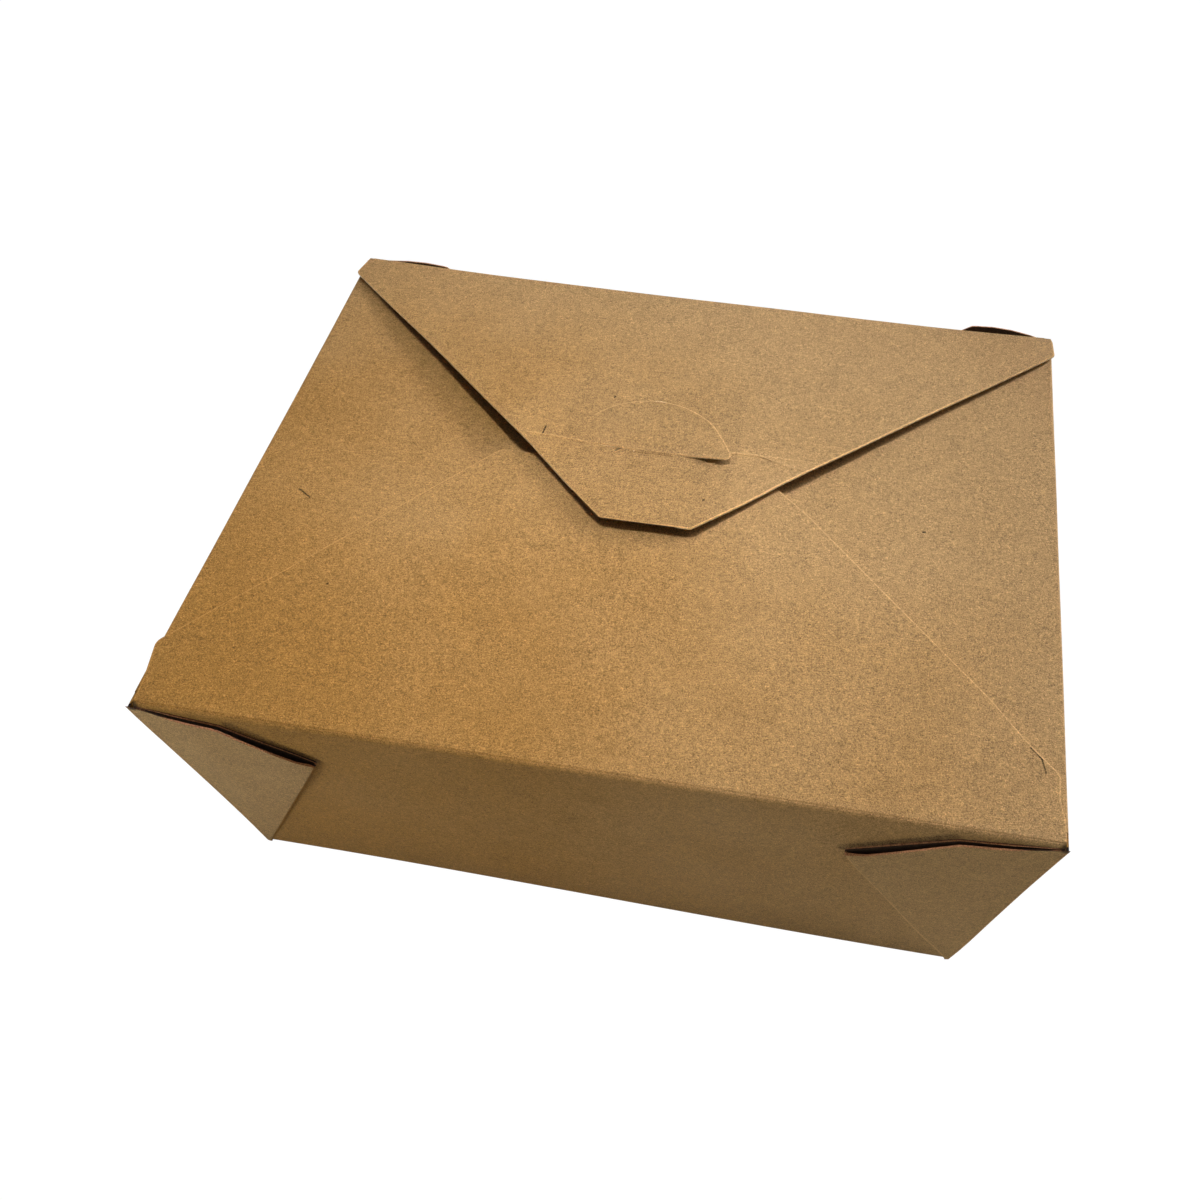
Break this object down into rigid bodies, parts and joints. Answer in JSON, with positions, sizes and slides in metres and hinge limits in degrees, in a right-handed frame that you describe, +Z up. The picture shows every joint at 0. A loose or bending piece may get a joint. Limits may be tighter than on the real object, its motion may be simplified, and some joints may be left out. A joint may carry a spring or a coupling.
{
  "type": "takeout box",
  "caption": "Folded kraft board takeout box with tapered walls, double-layer web corners and a lid flap locked by a tongue in a slit.",
  "frame": {"origin": "centre of the base's underside, on the surface that the box stands on", "axes": "+X along the box, +Y towards the lid's hinge, -Y towards the front wall, +Z up"},
  "size_m": [0.1718, 0.1408, 0.0668],
  "materials": {
    "kraft_board": "uncoated matt kraft board with fine fibres and dark specks"
  },
  "bodies": {
    "tray": {"carton": "kraft_board"},
    "lid": {"lid_flap": "kraft_board"}
  },
  "joints": [
    {"name": "lid_hinge", "type": "hinge", "parent": "tray", "child": "lid", "pos_m": [0, 0.0692, 0.0646], "axis": [-1, 0, 0], "range_deg": [0, 135]}
  ]
}
